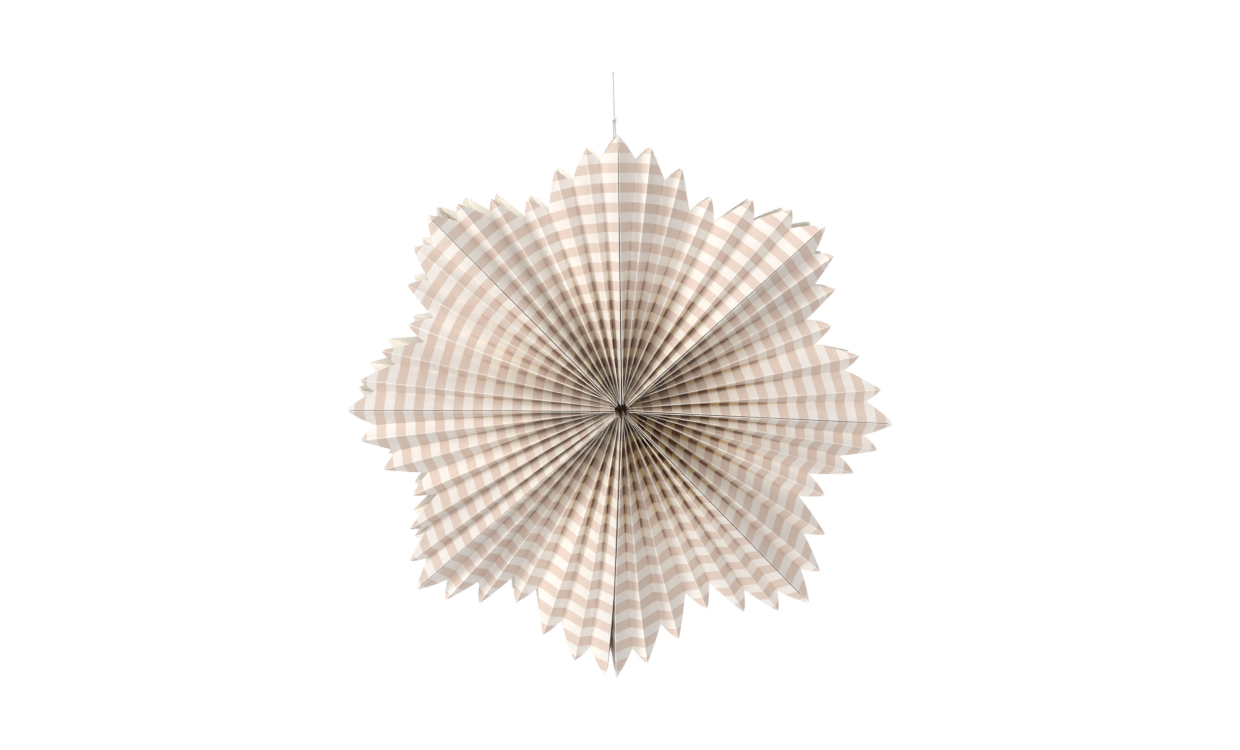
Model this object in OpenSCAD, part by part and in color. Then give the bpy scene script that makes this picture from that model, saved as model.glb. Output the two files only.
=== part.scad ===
// Hanging paper star: sixteen pleated paper bags, opened like a fan into a full ring.
// Frame: the origin is the hub at half depth, +Z is up and -Y is the front.
// Angles run clockwise from the top, seen from the front. Sizes are in millimetres.

/* [Bags] */
// Distance from the hub to the longest tips
star_radius = 298; // [240:1:345]
// Front-to-back depth of the star, between the ridges of the longest tips
star_depth = 152.6; // [130:0.1:180]
// A bag's four tips, from its long wall to its short wall, in parts of the star's radius
tip_shares = [1, 0.961, 0.906, 0.843]; // [0.7:0.001:1]
// How far the notches between those tips lie below the shorter of their two tips
notch_drops = [14.3, 16.7, 22.5]; // [4:0.1:40]
// Share of a bag's opening that each of its three pleats takes, from its long wall
pleat_shares = [0.3, 0.33, 0.37]; // [0.2:0.01:0.5]
// How much further back each ridge lies than the one before it, from the long wall
ridge_steps = [14.5, 17, 13.2]; // [8:0.1:18]
// Width of each pleat's narrow facet. Its wide facet is wider by the step between its ridges
narrow_facets = [18.4, 21.2, 20.5]; // [17:0.1:24]
// How far a facet's cut edge bows outwards between tip and notch
edge_bow = 2; // [0:0.5:4]
// Thickness of the printed paper
paper = 0.2; // [0.15:0.01:0.3]
// Half the width that the paper's grain adds to a folded edge
crease = 0.04; // [0.02:0.01:0.08]

/* [Ring] */
// Opening of each bag, clockwise from the closing seam, in parts of a full turn
bag_openings = [25.65, 21, 17.8, 23.8, 20.9, 24.2, 20.5, 23.1, 24.2, 24.2, 21.7, 23.7, 21.1, 22,
    21, 25.15];
// Angle of the closing seam, where the first bag meets the last
closing_angle = 182.25; // [170:0.05:190]
// Room between the stacked folds and a tight ring round the hub
hub_gap = 0.6; // [0.5:0.1:4]
// Distance of a long tip's fold from the seam it belongs to
tip_spread = 0.5; // [0.3:0.1:3]

/* [Closing seam] */
// Angle by which the closing seam stands open at the front tips
closing_gap = 1.9; // [0:0.1:5]
// Distance from the hub up to which the closing seam is shut
seal_radius = 200; // [150:1:240]
// Length of the adhesive strip that holds the closing seam
strip_length = 130; // [60:1:180]
// Width of that strip
strip_width = 15; // [8:1:30]
// Thickness of that strip
strip_thickness = 0.3; // [0.1:0.05:0.6]

/* [Hanging string] */
// Diameter of the string
string_d = 1.4; // [1:0.1:1.6]
// Diameter of the hole that the string's loop goes through
hole_d = 4; // [3:0.5:6]
// Distance from the walls' outer edge to the middle of that hole
hole_margin = 7; // [5:0.5:12]
// Width of the loop's knot
knot_d = 4.6; // [4.4:0.1:7]
// Height of the loop's knot
knot_h = 5.5; // [4:0.5:8]
// Width of the knot at the string's end
end_knot_d = 2.6; // [2.4:0.1:5]
// Height of the knot at the string's end
end_knot_h = 2.6; // [2:0.1:6]

/* [Hidden] */

bag_count = len(bag_openings);
// A bag has four ridges on each side, the outer two along its walls, and a valley between each two
last_ridge = len(pleat_shares);
// The star hangs from the long seam across the ring from the closing seam
hang_seam = bag_count / 2;

// A fold is two layers of paper wide, plus the grain that it breaks
fold_half = paper + crease;
// On the outside of a bend the paper's two faces shift by this much in depth
fold_step = paper / 2;
// Distance between two ridges where the folds are stacked tight at the hub
root_pitch = 2 * (paper + 2 * crease) + crease;
stack_width = last_ridge * root_pitch + 2 * fold_half;
hub_radius = stack_width / sin(full_turn(min(bag_openings))) + hub_gap;

// Radii of the tips and of the notches, and half the distance between front and back ridges
tip_radii = star_radius * tip_shares;
notch_radii = [for (m = [0:last_ridge - 1]) min(tip_radii[m], tip_radii[m + 1]) - notch_drops[m]];
ridge_heights = [for (m = [0:last_ridge]) star_depth / 2 - sum_of(ridge_steps, m)];
// The walls are glued together over this share of that height
glued_share = 0.6;

// Where the sections of a bag lie, from the hub to its lowest notch. The last one is its cut edge
stations = [0, 0.25, 0.66, 1];
last_station = len(stations) - 1;

// The string's routes, from the middle of its hole: sideways and up
loop_route = [[-2.6, 45.3], [-2.5, 42], [-2.2, 38], [-2.3, 28], [-2.5, 20], [-2.8, 12], [-3, 7],
    [-2.7, 3], [-1.6, 0.8], [0, 0], [1.6, 0.8], [2.6, 3], [2.8, 7], [2.4, 12], [1.4, 20],
    [0.4, 28], [-0.4, 38], [-0.7, 42], [-0.8, 45.3]];
string_route = [[0, 0], [0, 3], [-0.2, 10], [-0.5, 20], [-0.8, 30], [-1, 40], [-1.1, 45], [-1.15, 49.2]];
string_sides = 8;

// The knot sits on the loop's two ends, and the string leaves its top
knot_place = (loop_route[0] + loop_route[len(loop_route) - 1]) / 2;
string_place = knot_place + [0, knot_h];
end_knot_place = string_place + string_route[len(string_route) - 1];

// Sum of the first n numbers of a list
function sum_of(list, n) = n == 0 ? 0 : list[n - 1] + sum_of(list, n - 1);
function full_turn(opening) = 360 * opening / sum_of(bag_openings, bag_count);

// Places in the star's plane as [sideways, up], and points in space
function polar(r, a) = [r * sin(a), r * cos(a)];
function tangent(a) = [cos(a), -sin(a)];
function at(p, y) = [p.x, y, p.y];

// Seam k lies before bag k. Seam 0 and the last one are the two sides of the closing seam
function seam_angle(k) = closing_angle + full_turn(sum_of(bag_openings, k));
function closing_side(k) = k == 0 ? 1 : k == bag_count ? -1 : 0;

// Past the seal the closing seam opens towards the front tips
function front_opening(k, r) =
    closing_side(k) * closing_gap / 2 * max(0, (r - seal_radius) / (tip_radii[0] - seal_radius));

// Angle of ridge j of bag k at radius r. front is 1 on the front and 0 on the back
function ridge_angle(k, j, r, front) =
    let (a = seam_angle(k) + front * front_opening(k, r),
        b = seam_angle(k + 1) + front * front_opening(k + 1, r))
    a + (b - a) * place_across(k, j);

// Bags lie in mirrored pairs: long walls on the seams with even numbers, short walls between.
// Ridges and pleats are listed from the long wall, and counted here from the bag's first wall
function starts_long(k) = k % 2 == 0;
function listed_ridge(k, j) = starts_long(k) ? j : last_ridge - j;
function listed_pleat(k, j) = starts_long(k) ? j : last_ridge - 1 - j;
function tip_radius(k, j) = tip_radii[listed_ridge(k, j)];
function notch_radius(k, j) = notch_radii[listed_pleat(k, j)];
function wall_radius(k, j) = notch_radius(k, j == 0 ? 0 : last_ridge - 1);
function is_long(k, j) = listed_ridge(k, j) == 0;
function ridge_height(k, j) = ridge_heights[listed_ridge(k, j)];

// Where ridge j stands between the bag's first wall and its second, from 0 to 1
function place_across(k, j) =
    let (place = sum_of(pleat_shares, listed_ridge(k, j)) / sum_of(pleat_shares, last_ridge))
    starts_long(k) ? place : 1 - place;

// The way into the bag from its wall, and how far the wall stands off its seam
function inward(j) = j == 0 ? 1 : j == last_ridge ? -1 : 0;
function seam_offset(k, j) =
    abs(closing_side(j == 0 ? k : k + 1)) * strip_thickness / 2;

// A ridge runs straight from the pinched stack at the hub to its tip
function ridge_root(k, j) =
    let (a = seam_angle(starts_long(k) ? k + 1 : k),
        layer = starts_long(k) ? j - last_ridge : j,
        side = starts_long(k) ? -1 : 1)
    polar(hub_radius, a) + tangent(a) * (side * fold_half + layer * root_pitch);
function ridge_tip(k, j, r, front) =
    let (a = ridge_angle(k, j, r, front),
        inset = fold_half + seam_offset(k, j) + (is_long(k, j) ? tip_spread : 0))
    polar(tip_radius(k, j), a) + tangent(a) * inward(j) * inset;
function ridge(k, j, r, front) =
    let (root = ridge_root(k, j), way = (r - hub_radius) / (tip_radius(k, j) - hub_radius))
    root + (ridge_tip(k, j, r, front) - root) * way;

// A valley lies where the wide facet from one ridge meets the narrow facet from the next.
// Seen along the bag, the three lines form a triangle, whose corner is given as [place, height]
function valley(k, j, r, front) =
    let (m = listed_pleat(k, j),
        high = ridge(k, starts_long(k) ? j : j + 1, r, front),
        low = ridge(k, starts_long(k) ? j + 1 : j, r, front),
        pitch = norm(low - high),
        step = ridge_steps[m],
        narrow = narrow_facets[m],
        wide = narrow + step,
        span = norm([pitch, step]),
        along = (wide * wide - narrow * narrow + span * span) / (2 * span),
        aside = sqrt(wide * wide - along * along))
    [high + (low - high) * (along * pitch - aside * step) / (span * pitch),
        ridge_heights[m] - (along * step + aside * pitch) / span];

// Radius of a section, which ends at the column's own tip or notch
function reach(i, end) =
    i == last_station ? end : hub_radius + (min(notch_radii) - hub_radius) * stations[i];

// A column is a point on the paper's outside with its partner on the inside.
// Two columns make a crease. y is its depth, into is 1 on the front and -1 on the back
function crease_columns(p, a, y, into, half_out, half_in) =
    [for (side = [-1, 1])
        [at(p + tangent(a) * side * half_out, y),
            at(p + tangent(a) * side * half_in, y + into * fold_step)]];

function ridge_columns(k, j, i, front) =
    let (r = reach(i, tip_radius(k, j)), into = front == 1 ? 1 : -1)
    crease_columns(ridge(k, j, r, front), ridge_angle(k, j, r, front),
        -into * ridge_height(k, j), into, fold_half, crease);

function valley_columns(k, j, i, front) =
    let (r = reach(i, notch_radius(k, j)), into = front == 1 ? 1 : -1, v = valley(k, j, r, front),
        a = (ridge_angle(k, j, r, front) + ridge_angle(k, j + 1, r, front)) / 2)
    crease_columns(v[0], a, -into * v[1], into, crease, fold_half);

// The middle of a facet of pleat j, which the cut edge bows out from
function facet_column(k, j, i, from, to) =
    let (a = (ridge_angle(k, j, 0, 0) + ridge_angle(k, j + 1, 0, 0)) / 2,
        out = polar(i == last_station ? edge_bow : 0, a))
    (from + to) / 2 + [at(out, 0), at(out, 0)];

// One pleated side of a bag, from its first wall to its second
function gusset(k, i, front) =
    let (ridges = [for (j = [0:last_ridge]) ridge_columns(k, j, i, front)],
        valleys = [for (j = [0:last_ridge - 1]) valley_columns(k, j, i, front)])
    [for (j = [0:last_ridge]) each concat(ridges[j], j == last_ridge ? [] : [
        facet_column(k, j, i, ridges[j][1], valleys[j][0]),
        valleys[j][0],
        valleys[j][1],
        facet_column(k, j, i, valleys[j][1], ridges[j + 1][0])])];

// A flat wall, glued to the next bag's from one pleated side to the other
function wall(k, j, i) =
    let (a = seam_angle(j == 0 ? k : k + 1),
        p = polar(reach(i, wall_radius(k, j)), a) + tangent(a) * inward(j) * seam_offset(k, j),
        inside = p + tangent(a) * inward(j) * paper,
        glued = glued_share * ridge_height(k, j))
    [for (y = [-glued, glued]) [at(p, y), at(inside, y)]];

function reversed(list) = [for (c = [len(list) - 1:-1:0]) list[c]];

// Section i of bag k: front pleats, second wall, back pleats, first wall
function section(k, i) = concat(gusset(k, i, 1), wall(k, last_ridge, i),
    reversed(gusset(k, i, 0)), reversed(wall(k, 0, i)));

// The paper of bag k, lofted from section to section and open at both ends
module bag_paper(k) {
    sections = [for (i = [0:last_station]) section(k, i)];
    n = len(sections[0]);
    function corner(i, c, layer) = (2 * i + layer) * n + c % n;
    points = [for (s = sections) for (layer = [0, 1]) for (column = s) column[layer]];
    skins = [for (i = [0:last_station - 1]) for (c = [0:n - 1]) each [
        [corner(i, c, 0), corner(i + 1, c, 0), corner(i, c + 1, 0)],
        [corner(i, c + 1, 0), corner(i + 1, c, 0), corner(i + 1, c + 1, 0)],
        [corner(i, c, 1), corner(i, c + 1, 1), corner(i + 1, c, 1)],
        [corner(i, c + 1, 1), corner(i + 1, c + 1, 1), corner(i + 1, c, 1)]]];
    hub_edge = [for (c = [0:n - 1]) each [
        [corner(0, c, 0), corner(0, c + 1, 0), corner(0, c, 1)],
        [corner(0, c + 1, 0), corner(0, c + 1, 1), corner(0, c, 1)]]];
    cut_edge = [for (c = [0:n - 1]) each [
        [corner(last_station, c, 0), corner(last_station, c, 1), corner(last_station, c + 1, 0)],
        [corner(last_station, c + 1, 0), corner(last_station, c, 1),
            corner(last_station, c + 1, 1)]]];
    polyhedron(points, concat(skins, hub_edge, cut_edge));
}

// Carries its children to the middle of the string's hole
module at_hole() {
    p = polar(notch_radii[0] - hole_margin, seam_angle(hang_seam));
    translate(at(p, 0)) children();
}

module bag(k) {
    color(k % 2 == 0 ? "#E3D2C7" : "#EDEAE5")
    if (k == hang_seam || k == hang_seam - 1) {
        difference() {
            bag_paper(k);
            at_hole() rotate([0, 90 + seam_angle(hang_seam), 0])
                cylinder(h = 4 * hole_d, d = hole_d, center = true, $fn = 32);
        }
    } else {
        bag_paper(k);
    }
}

// Double-sided adhesive strip between the first and the last bag
module closing_strip() {
    color("#F4F1EA")
    rotate([0, closing_angle, 0])
        translate([0, 0, seal_radius - strip_length / 2])
            cube([strip_thickness, strip_width, strip_length], center = true);
}

// A round tube along a route of [sideways, up] points
module tube(route, d, sides) {
    last = len(route) - 1;
    function direction(i) =
        let (step = route[min(i + 1, last)] - route[max(i - 1, 0)]) step / norm(step);
    function ring(i) = [for (s = [0:sides - 1])
        let (a = 360 * s / sides, way = direction(i), out = [way.y, -way.x])
        at(route[i] + out * cos(a) * d / 2, sin(a) * d / 2)];
    points = [for (i = [0:last]) each ring(i)];
    skin = [for (i = [0:last - 1]) for (s = [0:sides - 1])
        let (t = (s + 1) % sides)
        each [[i * sides + s, (i + 1) * sides + s, i * sides + t],
            [i * sides + t, (i + 1) * sides + s, (i + 1) * sides + t]]];
    first_end = [for (s = [0:sides - 1]) s];
    last_end = [for (s = [sides - 1:-1:0]) last * sides + s];
    polyhedron(points, concat(skin, [first_end, last_end]));
}

// A small tight knot, flat where the string's ends leave it
module knot(d, h) {
    rotate_extrude($fn = 24)
        polygon([[0, 0], [0.4 * d, 0], [0.5 * d, 0.3 * h], [0.48 * d, 0.7 * h],
            [0.28 * d, h], [0, h]]);
}

module hang_loop() {
    color("#E6E3E4") at_hole() tube(loop_route, string_d, string_sides);
}

module loop_knot() {
    color("#E6E3E4") at_hole() translate(at(knot_place, 0)) knot(knot_d, knot_h);
}

module hang_string() {
    color("#E6E3E4") at_hole() translate(at(string_place, 0)) tube(string_route, string_d, string_sides);
}

module end_knot() {
    color("#E6E3E4") at_hole() translate(at(end_knot_place, 0)) knot(end_knot_d, end_knot_h);
}

for (k = [0:bag_count - 1]) {
    bag(k);
}
closing_strip();
hang_loop();
loop_knot();
hang_string();
end_knot();
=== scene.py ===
"""Hanging paper star: striped paper bags, pleated and opened into a ring, on a thin white string."""
import math
import random
from functools import partial

import bmesh
import bpy
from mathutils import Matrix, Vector


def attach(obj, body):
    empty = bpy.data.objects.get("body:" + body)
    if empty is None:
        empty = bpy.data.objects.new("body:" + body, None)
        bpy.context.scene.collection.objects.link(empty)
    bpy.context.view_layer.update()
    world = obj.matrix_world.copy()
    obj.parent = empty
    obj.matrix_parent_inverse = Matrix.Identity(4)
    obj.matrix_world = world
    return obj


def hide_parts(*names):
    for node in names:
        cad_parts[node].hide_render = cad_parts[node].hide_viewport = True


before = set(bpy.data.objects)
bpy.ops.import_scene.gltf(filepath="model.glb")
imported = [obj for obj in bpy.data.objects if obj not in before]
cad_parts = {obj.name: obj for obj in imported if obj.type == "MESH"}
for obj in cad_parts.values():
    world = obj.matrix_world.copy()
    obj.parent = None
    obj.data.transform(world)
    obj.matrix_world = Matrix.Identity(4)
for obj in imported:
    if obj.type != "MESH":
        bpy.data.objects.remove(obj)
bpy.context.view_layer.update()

MM = 0.001

# The star's own sizes in millimetres, the same as the model's
STAR_RADIUS = 298
STAR_DEPTH = 152.6
TIP_SHARES = (1, 0.961, 0.906, 0.843)
NOTCH_DROPS = (14.3, 16.7, 22.5)
PLEAT_SHARES = (0.3, 0.33, 0.37)
RIDGE_STEPS = (14.5, 17, 13.2)
NARROW_FACETS = (18.4, 21.2, 20.5)
EDGE_BOW = 2
PAPER = 0.2
CREASE = 0.04
BAG_OPENINGS = (25.65, 21, 17.8, 23.8, 20.9, 24.2, 20.5, 23.1,
                24.2, 24.2, 21.7, 23.7, 21.1, 22, 21, 25.15)
CLOSING_ANGLE = 182.25
CLOSING_GAP = 1.9
SEAL_RADIUS = 200
STRIP_THICKNESS = 0.3
TIP_SPREAD = 0.4
GLUED_SHARE = 0.6
STRING_D = 1.4
HOLE_MARGIN = 7
KNOT_D, KNOT_H = 4.6, 5.5
END_KNOT_D, END_KNOT_H = 2.6, 2.6
KNOT_STRING_D, END_KNOT_STRING_D = 1.3, 0.9

BAGS = len(BAG_OPENINGS)
LAST_RIDGE = len(PLEAT_SHARES)
TIP_RADII = [STAR_RADIUS * share for share in TIP_SHARES]
NOTCH_RADII = [min(TIP_RADII[m:m + 2]) - NOTCH_DROPS[m] for m in range(LAST_RIDGE)]
RIDGE_HEIGHTS = [STAR_DEPTH / 2 - sum(RIDGE_STEPS[:m]) for m in range(LAST_RIDGE + 1)]
FOLD_HALF = PAPER + CREASE
FOLD_STEP = PAPER / 2
FULL_TURN = 360 / sum(BAG_OPENINGS)

# At the hub the folds are pressed tight round a small eye, and the back stands a little turned
HUB_RADIUS = 7.3
ROOT_PITCH = 0.56
BACK_TURN = 0.87

# The string's routes from the middle of its hole, sideways and up: the strand that carries on to the
# string's end, and the strand that ends in the knot
STRAND = ((0, 0), (1.9, 0.8), (3.3, 3), (3.7, 7), (2.9, 12), (1.6, 20), (0.4, 28), (-0.4, 38), (-0.8, 42),
          (-0.9, 45.3), (-1.6, 48), (-1.7, 50.8), (-1.7, 53.8), (-1.9, 60.8), (-2.2, 70.8), (-2.5, 80.8),
          (-2.7, 90.8), (-2.8, 95.8), (-2.85, 100.6))
RETURN = ((-0.1, 0), (-1.6, 0.8), (-2.7, 3), (-3, 7), (-2.8, 12), (-2.5, 20), (-2.3, 28), (-2.2, 38),
          (-2.5, 42), (-2.5, 45.3), (-1.8, 48), (-0.6, 50.2), (0.4, 52.2))
KNOT_PLACE = (-1.7, 48)
END_KNOT_PLACE = (-2.85, 101.3)

# The printed pattern, measured along the sheet from the hub
STRIPE_PITCH = 21.4
STRIPE_CENTRE = 285.6
STRIPE_SLIP = 0.35

# How finely a bag is modelled, and how unevenly its pleats lie
ROWS = 24
BETWEEN = (0.2, 0.4, 0.6, 0.8)
WALL_STEPS = (0, 0.25, 0.5, 0.75, 1)
RIDGE_SLIP = 0.1
VALLEY_SLIP = 0.4
BELLY = 0.35

# Marks a line of the sheet that is too far from any ridge or valley to matter, and one in a valley
FAR = 99
DEEP = 0.01

# The folds carry painted shade, darker away from the light, which comes from this angle clockwise from the
# top. The three shares are a fold's own painted shade, what its facet's facing adds, and what its place adds
LIT_FROM = 286
SHADE_SHARE = 0.62
SHADE_BY_FACING = 0.42
SHADE_BY_PLACE = 0.25
# The seam walls' mark: painted shade covers them wholly
SEAM_FULL_SHADE = 20

# Colours of the paper: painted lighter near the hub than out at the rim, and the painted shade colours
HUB_BLUSH = ("#F0E1D7", "#ECDCD1")
RIM_BLUSH = ("#DFD0C7", "#DACAC0")
HUB_WHITE = ("#FCFAF6", "#F9F6F1")
RIM_WHITE = ("#EDEBE9", "#E8E5E2")
SHADED_BLUSH = "#8E5A28"
SHADED_WHITE = "#DCB972"
SEAM_SHADE_COLOUR = "#4A2C14"
HUB_SHADE_COLOUR = "#A06E38"
BARE_RIDGE = "#FBF8F2"
LIGHT_THROUGH = 0.15

# The photograph's view: 1240 by 750 pixels, taken from a little above and left of the star
PHOTO_WIDTH = 1240
FOCAL_PIXELS = 2145.2
SENSOR_WIDTH = 36
VIEW_DISTANCE = 2.4104
VIEW_ELEVATION = 6.96
VIEW_AZIMUTH = 2.22
AIM = Vector((0.00096, 0, 0.03053))

# The lamps: place, width and watts. The key is the photograph's, from the left and a little above
LAMP_TINT = "#FFFDFA"
LAMPS = {
    "key_left": ((-1.7, -1.36, 0.44), 0.8, 25),
    "front_soft": ((-0.15, -2.65, 0.56), 1.0, 39),
    "back_soft": ((0.5, 2.6, 0.7), 1.2, 48),
    "right_soft": ((2.2, 1.2, 0.3), 1.0, 12),
    "top_soft": ((0.3, -0.45, 1.9), 1.2, 9),
}
ROOM_LIGHT = 0.35
FLOOR_HALF = 9
FLOOR_HEIGHT = -1.3


def add_node(tree, kind, inputs=None, **settings):
    """Adds a node, sets its properties and inputs, and links any input given as a socket."""
    node = tree.nodes.new(kind)
    for name, value in settings.items():
        setattr(node, name, value)
    for name, value in (inputs or {}).items():
        if isinstance(value, bpy.types.NodeSocket):
            tree.links.new(value, node.inputs[name])
        else:
            node.inputs[name].default_value = value
    return node


def colour(code):
    """An sRGB hex colour as the linear colour that Blender's sockets take."""
    parts = [int(code[i:i + 2], 16) / 255 for i in (1, 3, 5)]
    return (*(c / 12.92 if c < 0.04045 else ((c + 0.055) / 1.055) ** 2.4 for c in parts), 1)


def new_material(name):
    material = bpy.data.materials.new(name)
    material.use_nodes = True
    tree = material.node_tree
    tree.nodes.clear()
    return material, tree


def finish_material(tree, shader):
    add_node(tree, "ShaderNodeOutputMaterial", {"Surface": shader})


def object_place(tree):
    return add_node(tree, "ShaderNodeTexCoord").outputs["Object"]


def paper_surface(tree, tint, fibre_height):
    """Uncoated paper: matt, a little fibre in its surface, and a little light coming through the sheet."""
    fibre = add_node(tree, "ShaderNodeTexNoise",
                     {"Vector": object_place(tree), "Scale": 420, "Detail": 4, "Roughness": 0.65})
    bump = add_node(tree, "ShaderNodeBump",
                    {"Height": fibre.outputs["Fac"], "Strength": 0.25, "Distance": fibre_height * MM})
    sheet = add_node(tree, "ShaderNodeBsdfPrincipled",
                     {"Base Color": tint, "Roughness": 0.85, "Specular IOR Level": 0.1,
                      "Normal": bump.outputs["Normal"]})
    glow = add_node(tree, "ShaderNodeMix", {"Factor": 1}, data_type="RGBA", blend_type="MULTIPLY")
    tree.links.new(tint, glow.inputs[6])
    glow.inputs[7].default_value = colour("#FFEFD8")
    through = add_node(tree, "ShaderNodeBsdfTranslucent",
                       {"Color": glow.outputs[2], "Normal": bump.outputs["Normal"]})
    return add_node(tree, "ShaderNodeMixShader",
                    {0: LIGHT_THROUGH, 1: sheet.outputs["BSDF"], 2: through.outputs["BSDF"]}).outputs["Shader"]


def mix_colours(tree, factor, first, second):
    node = add_node(tree, "ShaderNodeMix", {"Factor": factor}, data_type="RGBA")
    for socket, value in ((node.inputs[6], first), (node.inputs[7], second)):
        if isinstance(value, bpy.types.NodeSocket):
            tree.links.new(value, socket)
        else:
            socket.default_value = value
    return node.outputs[2]


def math_node(tree, operation, *values):
    node = add_node(tree, "ShaderNodeMath", dict(enumerate(values)), operation=operation)
    return node.outputs["Value"]


def fade(tree, value, start, end, first, last):
    """A smooth change from first to last while value goes from start to end."""
    return add_node(tree, "ShaderNodeMapRange",
                    {"Value": value, "From Min": start, "From Max": end, "To Min": first, "To Max": last},
                    interpolation_type="SMOOTHSTEP").outputs["Result"]


def noise(tree, scale, detail):
    return add_node(tree, "ShaderNodeTexNoise",
                    {"Vector": object_place(tree), "Scale": scale, "Detail": detail}).outputs["Fac"]


def printed_paper():
    """Uncoated wood-free paper, offset printed with blush bands. The ink cracks white along the ridges.
    The deep folds and the seams carry painted shade in browns, and the sheet is painted lighter near the hub,
    where lamps alone leave the deep folds grey."""
    material, tree = new_material("printed_blush_paper")
    sheet = add_node(tree, "ShaderNodeUVMap", uv_map="sheet").outputs["UV"]
    along = add_node(tree, "ShaderNodeSeparateXYZ", {"Vector": sheet}).outputs["Y"]
    turns = math_node(tree, "DIVIDE", along, STRIPE_PITCH * MM)
    from_band = math_node(tree, "ABSOLUTE", math_node(
        tree, "SUBTRACT", math_node(tree, "FRACT", math_node(
            tree, "SUBTRACT", turns, STRIPE_CENTRE / STRIPE_PITCH - 20.5)), 0.5))
    ink = fade(tree, from_band, 0.24, 0.26, 1, 0)
    cloud = noise(tree, 60, 3)
    # Painted light: the sheet is lighter near the hub than out at the rim
    towards_rim = fade(tree, along, 0.1, 0.24, 0, 1)
    blush, white = (
        mix_colours(tree, towards_rim, *(mix_colours(tree, cloud, *map(colour, pair)) for pair in pairs))
        for pairs in ((HUB_BLUSH, RIM_BLUSH), (HUB_WHITE, RIM_WHITE)))

    # Painted shade in the folds: browner deep in the valleys and near the hub, more on facets turned from the
    # light
    from_valley = add_node(tree, "ShaderNodeAttribute", attribute_name="from_valley").outputs["Fac"]
    browning = add_node(tree, "ShaderNodeAttribute", attribute_name="browning").outputs["Fac"]
    reach = math_node(tree, "DIVIDE", from_valley, math_node(
        tree, "ADD", fade(tree, along, 0.04, 0.19, 18, 4), fade(tree, along, 0.015, 0.1, 60, 0)))
    tight = math_node(tree, "MULTIPLY", fade(tree, reach, 0.2, 1, 1, 0), fade(tree, along, 0.1, 0.22, 1, 0.1))
    deep = math_node(tree, "ADD", fade(tree, along, 0.012, 0.06, 0.8, 0),
                     fade(tree, along, 0.06, 0.17, 0.32, 0))
    shade_amount = math_node(tree, "MULTIPLY", math_node(tree, "MAXIMUM", tight, deep), browning)
    blush = mix_colours(tree, math_node(tree, "MULTIPLY", shade_amount, 0.95), blush, colour(SHADED_BLUSH))
    white = mix_colours(tree, math_node(tree, "MULTIPLY", shade_amount, 0.8), white, colour(SHADED_WHITE))
    # The seam walls are painted wholly in shade
    print_colour = mix_colours(tree, fade(tree, browning, 1.5, 3, 0, 1), mix_colours(tree, ink, white, blush),
                               colour(SEAM_SHADE_COLOUR))

    from_ridge = add_node(tree, "ShaderNodeAttribute", attribute_name="from_ridge").outputs["Fac"]
    hub_crack = math_node(tree, "MULTIPLY", fade(tree, from_ridge, 0.3, 1.8, 0.9, 0),
                          fade(tree, along, 0.05, 0.15, 1, 0))
    rim_crack = fade(tree, from_ridge, 0.2, 0.9, 0.35, 0)
    worn = math_node(tree, "MULTIPLY", math_node(tree, "MAXIMUM", hub_crack, rim_crack),
                     fade(tree, noise(tree, 150, 2), 0.3, 0.6, 0.7, 1))
    tint = mix_colours(tree, worn, print_colour, colour(BARE_RIDGE))
    finish_material(tree, paper_surface(tree, tint, 0.05))
    return material


def hub_painted_shade(tree):
    """How much painted shade darkens the paper round the eye at the hub, out to 30 mm from its middle."""
    flat = add_node(tree, "ShaderNodeVectorMath", {0: object_place(tree), 1: (1, 0, 1)}, operation="MULTIPLY")
    from_hub = add_node(tree, "ShaderNodeVectorMath", {0: flat.outputs["Vector"]}, operation="LENGTH")
    return fade(tree, from_hub.outputs["Value"], 0.012, 0.03, 0.9, 0)


def plain_paper():
    """The unprinted back of the sheet: warm cream stock."""
    material, tree = new_material("plain_cream_paper")
    clean = mix_colours(tree, noise(tree, 45, 3), colour("#F8F6F0"), colour("#F4F1E9"))
    # Painted shade round the eye at the hub
    tint = mix_colours(tree, hub_painted_shade(tree), clean, colour(HUB_SHADE_COLOUR))
    finish_material(tree, paper_surface(tree, tint, 0.06))
    return material


def cut_paper():
    """The die-cut edge, where the paper's white core shows."""
    material, tree = new_material("cut_paper_edge")
    clean = mix_colours(tree, noise(tree, 900, 2), colour("#F6F3EC"), colour("#ECE7DC"))
    # Painted shade round the eye at the hub
    tint = mix_colours(tree, hub_painted_shade(tree), clean, colour(HUB_SHADE_COLOUR))
    finish_material(tree, paper_surface(tree, tint, 0.04))
    return material


def tape_film():
    """Double-sided tape: a thin milky film with a slight sheen."""
    material, tree = new_material("double_sided_tape")
    tint = mix_colours(tree, noise(tree, 300, 2), colour("#F2EFE8"), colour("#E6E2D8"))
    film = add_node(tree, "ShaderNodeBsdfPrincipled", {"Base Color": tint, "Roughness": 0.35})
    finish_material(tree, film.outputs["BSDF"])
    return material


def braided_string():
    """Thin braided polyester string: white strands crossing, each about half a millimetre wide."""
    material, tree = new_material("braided_white_string")
    place = object_place(tree)
    strands = []
    for lean in (1, -1):
        turned = add_node(tree, "ShaderNodeMapping",
                          {"Vector": place, "Rotation": (0, lean * math.radians(35), 0)})
        strands.append(add_node(tree, "ShaderNodeTexWave",
                                {"Vector": turned.outputs["Vector"], "Scale": 260,
                                 "Distortion": 0.6, "Detail": 1},
                                bands_direction="Z").outputs["Fac"])
    braid = math_node(tree, "MULTIPLY", *strands)
    tint = mix_colours(tree, braid, colour("#BFB7BA"), colour("#CCC5C8"))
    bump = add_node(tree, "ShaderNodeBump", {"Height": braid, "Strength": 0.5, "Distance": 0.15 * MM})
    yarn = add_node(tree, "ShaderNodeBsdfPrincipled",
                    {"Base Color": tint, "Roughness": 0.6, "Sheen Weight": 0.2,
                     "Normal": bump.outputs["Normal"]})
    finish_material(tree, yarn.outputs["BSDF"])
    return material


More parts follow.
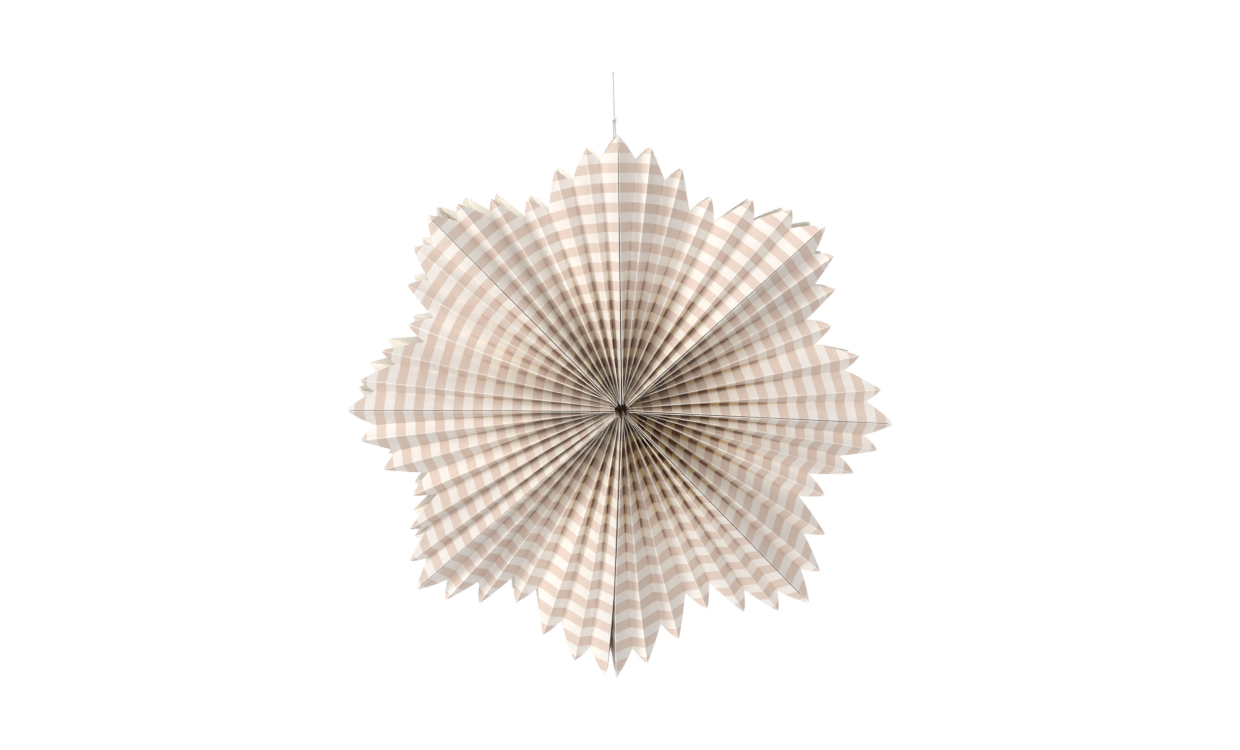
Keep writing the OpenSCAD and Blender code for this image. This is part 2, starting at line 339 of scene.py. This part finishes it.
def polar(r, degrees):
    """A place in the star's plane, from the hub: sideways and up."""
    a = math.radians(degrees)
    return Vector((r * math.sin(a), r * math.cos(a)))


def tangent(degrees):
    a = math.radians(degrees)
    return Vector((math.cos(a), -math.sin(a)))


def at(p, y):
    return Vector((p.x, y, p.y))


def seam_angle(k):
    return CLOSING_ANGLE + FULL_TURN * sum(BAG_OPENINGS[:k])


class Bag:
    """The folds of one bag: where each ridge, valley and wall runs at a distance r from the hub.
    Ridges are counted from the bag's first wall. side is 0 on the front and 1 on the back."""

    def __init__(self, k):
        self.long_first = k % 2 == 0
        self.seams = (seam_angle(k), seam_angle(k + 1))
        self.closing = (1 if k == 0 else 0, -1 if k == BAGS - 1 else 0)
        chance = random.Random(40 + k)
        self.ridge_slip = [[0, chance.uniform(-1, 1), chance.uniform(-1, 1), 0] for side in range(2)]
        self.valley_slip = [[chance.uniform(-1, 1) for j in range(LAST_RIDGE)] for side in range(2)]
        self.print_slip = chance.uniform(-STRIPE_SLIP, STRIPE_SLIP)

    def listed_ridge(self, j):
        return j if self.long_first else LAST_RIDGE - j

    def listed_pleat(self, j):
        return j if self.long_first else LAST_RIDGE - 1 - j

    def tip(self, j):
        return TIP_RADII[self.listed_ridge(j)]

    def notch(self, j):
        return NOTCH_RADII[self.listed_pleat(j)]

    def ridge_y(self, j, side):
        return (2 * side - 1) * RIDGE_HEIGHTS[self.listed_ridge(j)]

    def ridge_angle(self, j, r, side):
        opening = (1 - side) * CLOSING_GAP / 2 * max(0, (r - SEAL_RADIUS) / (TIP_RADII[0] - SEAL_RADIUS))
        a = self.seams[0] + self.closing[0] * opening
        b = self.seams[1] + self.closing[1] * opening
        place = sum(PLEAT_SHARES[:self.listed_ridge(j)]) / sum(PLEAT_SHARES)
        return a + (b - a) * (place if self.long_first else 1 - place) + side * BACK_TURN

    def seam_offset(self, j):
        return abs(self.closing[0 if j == 0 else 1]) * STRIP_THICKNESS / 2

    def ridge(self, j, r, side):
        inward = {0: 1, LAST_RIDGE: -1}.get(j, 0)
        axis = self.seams[1 if self.long_first else 0] + side * BACK_TURN
        layer = j - LAST_RIDGE if self.long_first else j
        outward = -1 if self.long_first else 1
        root = polar(HUB_RADIUS, axis) + tangent(axis) * (outward * FOLD_HALF + layer * ROOT_PITCH)
        angle = self.ridge_angle(j, r, side) + RIDGE_SLIP * self.ridge_slip[side][j]
        inset = FOLD_HALF + self.seam_offset(j) + (TIP_SPREAD if self.listed_ridge(j) == 0 else 0)
        end = polar(self.tip(j), angle) + tangent(angle) * inward * inset
        return root + (end - root) * (r - HUB_RADIUS) / (self.tip(j) - HUB_RADIUS)

    def valley(self, j, r, side):
        """Where the wide facet from one ridge meets the narrow facet from the next, and how high that is."""
        m = self.listed_pleat(j)
        high, low = self.ridge(j, r, side), self.ridge(j + 1, r, side)
        if not self.long_first:
            high, low = low, high
        step, narrow = RIDGE_STEPS[m], NARROW_FACETS[m]
        wide, pitch = narrow + step, (low - high).length
        span = math.hypot(pitch, step)
        run = (wide ** 2 - narrow ** 2 + span ** 2) / (2 * span)
        aside = math.sqrt(wide ** 2 - run ** 2)
        slip = VALLEY_SLIP * self.valley_slip[side][j] * (r / STAR_RADIUS)
        return (high + (low - high) * (run * pitch - aside * step) / (span * pitch),
                RIDGE_HEIGHTS[m] - (run * step + aside * pitch) / span - slip)

    def ridge_point(self, j, edge, side, share):
        """A point of ridge j's crease: on the outside, on the inside, and how far along the sheet it is."""
        r = HUB_RADIUS + (self.tip(j) - HUB_RADIUS) * share
        p, t = self.ridge(j, r, side), tangent(self.ridge_angle(j, r, side))
        y = self.ridge_y(j, side)
        return at(p + t * edge * FOLD_HALF, y), at(p + t * edge * CREASE, y + (1 - 2 * side) * FOLD_STEP), r

    def valley_point(self, j, edge, side, share):
        """The same for the valley between ridges j and j + 1."""
        r = HUB_RADIUS + (self.notch(j) - HUB_RADIUS) * share
        p, height = self.valley(j, r, side)
        t = tangent((self.ridge_angle(j, r, side) + self.ridge_angle(j + 1, r, side)) / 2)
        y = (2 * side - 1) * height
        return at(p + t * edge * CREASE, y), at(p + t * edge * FOLD_HALF, y + (1 - 2 * side) * FOLD_STEP), r

    def facet_point(self, j, half, fall, side, share):
        """The same on a facet beside valley j, fall of the way from its ridge to the valley."""
        edge = 1 - 2 * half
        ridge = self.ridge_point(j + half, edge, side, share)
        valley = self.valley_point(j, -edge, side, share)
        r = ridge[2] + (valley[2] - ridge[2]) * fall
        swell = 4 * fall * (1 - fall) * share
        bow = polar(EDGE_BOW * swell, self.ridge_angle(j + half, r, side))
        shift = Vector((bow.x, (1 - 2 * side) * BELLY * swell, bow.y))
        outside, inside = (ridge[i].lerp(valley[i], fall) + shift for i in range(2))
        return outside, inside, r + EDGE_BOW * swell

    def wall_point(self, j, fall, share):
        """The same on the wall at ridge j's seam, fall of the way from its front edge to its back edge."""
        r = HUB_RADIUS + (self.notch(min(j, LAST_RIDGE - 1)) - HUB_RADIUS) * share
        reach = (2 * fall - 1) * GLUED_SHARE
        angle = self.seams[min(j, 1)] + (1 + reach) / 2 * BACK_TURN
        p, t = polar(r, angle), tangent(angle) * (1 if j == 0 else -1)
        p += t * self.seam_offset(j)
        y = reach * RIDGE_HEIGHTS[self.listed_ridge(j)]
        return at(p, y), at(p + t * PAPER, y), r

    def facet_widths(self, j):
        """The widths of the facets on the two sides of valley j."""
        m = self.listed_pleat(j)
        widths = (NARROW_FACETS[m] + RIDGE_STEPS[m], NARROW_FACETS[m])
        return widths if self.long_first else widths[::-1]

    def gusset(self, side):
        """The lines along one pleated side: each one's distances from a ridge and from a valley, the way
        its facet faces round the star, and its points."""
        lines = []
        for j in range(LAST_RIDGE + 1):
            lines += [(0, FAR, edge, partial(self.ridge_point, j, edge, side)) for edge in (-1, 1)]
            if j < LAST_RIDGE:
                first, second = self.facet_widths(j)
                lines += [(s * first, (1 - s) * first, 1, partial(self.facet_point, j, 0, s, side))
                          for s in BETWEEN]
                lines += [(FAR, 0, -edge, partial(self.valley_point, j, edge, side)) for edge in (-1, 1)]
                lines += [(s * second, (1 - s) * second, -1, partial(self.facet_point, j, 1, s, side))
                          for s in BETWEEN[::-1]]
        return lines if side == 0 else lines[::-1]

    def wall(self, j):
        """The lines along the wall at ridge j, in the order that goes on round the bag. Only the walls at
        the open closing seam face anything."""
        falls = WALL_STEPS if j else WALL_STEPS[::-1]
        facing = abs(self.closing[min(j, 1)])
        return [(FAR, DEEP, facing, partial(self.wall_point, j, s)) for s in falls]

    def lines(self):
        """Every line along the sheet, once round the bag and back to the first."""
        found = self.gusset(0) + self.wall(LAST_RIDGE) + self.gusset(1) + self.wall(0)
        return found + found[:1]


def fold_bag(bag, name, materials):
    """Folds one printed sheet into a bag: a flat grid, folded, closed into a tube and given its thickness."""
    lines = bag.lines()
    points = [[fold(i / ROWS) for i in range(ROWS + 1)] for ridge, valley, facing, fold in lines]
    across = [0]
    for last, this in zip(points, points[1:]):
        across.append(across[-1] + (this[ROWS][0] - last[ROWS][0]).length)
    bm = bmesh.new()
    bmesh.ops.create_grid(bm, x_segments=len(lines) - 1, y_segments=ROWS, size=0.5)
    column, row = bm.verts.layers.int.new("column"), bm.verts.layers.int.new("row")
    from_ridge, from_valley, browning = (bm.verts.layers.float.new(part)
                                         for part in ("from_ridge", "from_valley", "browning"))
    sheet = bm.loops.layers.uv.new("sheet")
    for v in bm.verts:
        c, i = round((v.co.x + 0.5) * (len(lines) - 1)), round((v.co.y + 0.5) * ROWS)
        v[column], v[row], v[from_ridge], v[from_valley] = c, i, lines[c][0], lines[c][1]
        v.co = points[c][i][0] * MM
        # Painted shade for each point: more on facets facing away from the light and on the star's side away
        # from it
        away = math.radians(LIT_FROM) - math.atan2(v.co.x, v.co.z)
        facing = lines[c][2]
        v[browning] = (SHADE_SHARE - SHADE_BY_FACING * facing * math.sin(away) - SHADE_BY_PLACE * math.cos(away)
                       if facing else SEAM_FULL_SHADE)
        for loop in v.link_loops:
            loop[sheet].uv = (across[c] * MM, (points[c][i][2] + bag.print_slip) * MM)
    bmesh.ops.remove_doubles(bm, verts=bm.verts, dist=0.001 * MM)
    grown = bmesh.ops.extrude_face_region(bm, geom=bm.faces[:], use_keep_orig=True)["geom"]
    inside = {part for part in grown if isinstance(part, bmesh.types.BMVert)}
    for v in inside:
        v.co = points[v[column]][v[row]][1] * MM
    for face in bm.faces:
        depth = sum(v in inside for v in face.verts)
        face.material_index = 0 if depth == 0 else 1 if depth == len(face.verts) else 2
        face.smooth = True
    bmesh.ops.recalc_face_normals(bm, faces=bm.faces)
    for edge in bm.edges:
        first, second = edge.verts
        folded = first[column] == second[column] and 0 in lines[first[column]][:2]
        edge.smooth = not folded and len({face.material_index for face in edge.link_faces}) == 1
    mesh = bpy.data.meshes.new(name)
    bm.to_mesh(mesh)
    bm.free()
    for material in materials:
        mesh.materials.append(material)
    piece = bpy.data.objects.new(name, mesh)
    bpy.context.collection.objects.link(piece)
    return piece


def build_bags():
    materials = [printed_paper(), plain_paper(), cut_paper()]
    for k in range(BAGS):
        node = f"bag_{k + 1:02d}"
        piece = fold_bag(Bag(k), f"folded_{node}", materials)
        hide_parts(node)
        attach(piece, "root")


def yarn(name, points, thickness, material, closed=False):
    """A round length of string along points."""
    data = bpy.data.curves.new(name, "CURVE")
    data.dimensions = "3D"
    data.bevel_depth = thickness / 2 * MM
    data.bevel_resolution = 3
    data.use_fill_caps = not closed
    spline = data.splines.new("NURBS")
    spline.points.add(len(points) - 1)
    for control, p in zip(spline.points, points):
        control.co = (*(p * MM), 1)
    spline.order_u = 3
    spline.use_endpoint_u = not closed
    spline.use_cyclic_u = closed
    spline.resolution_u = 6
    data.materials.append(material)
    piece = bpy.data.objects.new(name, data)
    bpy.context.collection.objects.link(piece)
    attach(piece, "root")
    return piece


def knot(name, centre, width, height, thickness, material):
    """A tight overhand knot: a string that crosses itself three times."""
    turns = [2 * math.pi * i / 24 for i in range(24)]
    x_scale, z_scale, y_scale = (width - thickness) / 5.2, (height - thickness) / 5.5, (width - thickness) / 2.4
    points = [centre + Vector(((math.sin(t) + 2 * math.sin(2 * t)) * x_scale, -math.sin(3 * t) * y_scale,
                               (math.cos(t) - 2 * math.cos(2 * t)) * z_scale)) for t in turns]
    return yarn(name, points, thickness, material, closed=True)


def build_string():
    material = braided_string()
    hole = polar(NOTCH_RADII[0] - HOLE_MARGIN, seam_angle(BAGS // 2))
    strand, back = ([at(hole + Vector(p), 0) for p in route] for route in (STRAND, RETURN))
    loop_knot = knot("tied_loop_knot", at(hole + Vector(KNOT_PLACE), 0), KNOT_D, KNOT_H,
                     KNOT_STRING_D, material)
    end_knot = knot("tied_end_knot", at(hole + Vector(END_KNOT_PLACE), 0), END_KNOT_D, END_KNOT_H,
                    END_KNOT_STRING_D, material)
    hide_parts("loop_knot")
    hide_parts("end_knot")
    string = yarn("string", strand, STRING_D, material)
    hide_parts("hang_string", "hang_loop")
    string_back = yarn("string_back", back, STRING_D, material)
    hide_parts("hang_loop")


def dress_strip():
    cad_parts["closing_strip"].data.materials[0] = tape_film()


def build_stage():
    """A plain pale floor far under the hanging star, and a white room."""
    material, tree = new_material("pale_floor")
    path = add_node(tree, "ShaderNodeLightPath").outputs
    paint = add_node(tree, "ShaderNodeBsdfDiffuse", {"Color": colour("#F2F2F2")})
    white = add_node(tree, "ShaderNodeEmission", {"Color": (1, 1, 1, 1), "Strength": 1.0})
    finish_material(tree, add_node(tree, "ShaderNodeMixShader",
                                   {0: path["Is Camera Ray"], 1: paint.outputs["BSDF"],
                                    2: white.outputs["Emission"]}).outputs["Shader"])
    bm = bmesh.new()
    bmesh.ops.create_grid(bm, x_segments=1, y_segments=1, size=FLOOR_HALF)
    bmesh.ops.translate(bm, verts=bm.verts, vec=(0, 0, FLOOR_HEIGHT))
    mesh = bpy.data.meshes.new("floor")
    bm.to_mesh(mesh)
    bm.free()
    mesh.materials.append(material)
    floor = bpy.data.objects.new("floor", mesh)
    bpy.context.collection.objects.link(floor)

    world = bpy.data.worlds.new("white_room")
    bpy.context.scene.world = world
    world.use_nodes = True
    tree = world.node_tree
    tree.nodes.clear()
    path = add_node(tree, "ShaderNodeLightPath").outputs
    seen = add_node(tree, "ShaderNodeBackground", {"Color": (1, 1, 1, 1), "Strength": 1})
    fill = add_node(tree, "ShaderNodeBackground", {"Color": colour("#FFFFFF"), "Strength": ROOM_LIGHT})
    both = add_node(tree, "ShaderNodeMixShader",
                    {0: path["Is Camera Ray"], 1: fill.outputs["Background"], 2: seen.outputs["Background"]})
    add_node(tree, "ShaderNodeOutputWorld", {"Surface": both.outputs["Shader"]})


def build_lights():
    for name, (place, size, power) in LAMPS.items():
        light = bpy.data.lights.new(name, "AREA")
        light.shape = "DISK"
        light.size = size
        light.energy = power
        light.color = colour(LAMP_TINT)[:3]
        lamp = bpy.data.objects.new(name, light)
        lamp.location = place
        lamp.rotation_euler = (-Vector(place)).to_track_quat("-Z", "Y").to_euler()
        bpy.context.collection.objects.link(lamp)


def build_camera():
    data = bpy.data.cameras.new("camera")
    data.sensor_width = SENSOR_WIDTH
    data.lens = FOCAL_PIXELS / PHOTO_WIDTH * SENSOR_WIDTH
    camera = bpy.data.objects.new("camera", data)
    bpy.context.collection.objects.link(camera)
    e, a = math.radians(VIEW_ELEVATION), math.radians(VIEW_AZIMUTH)
    forward = Vector((math.sin(a) * math.cos(e), math.cos(a) * math.cos(e), -math.sin(e)))
    camera.location = AIM - forward * VIEW_DISTANCE
    camera.rotation_euler = forward.to_track_quat("-Z", "Y").to_euler()
    bpy.context.scene.camera = camera


build_camera()
build_string()
build_bags()
dress_strip()
build_stage()
build_lights()
bpy.context.scene.view_settings.view_transform = "Standard"
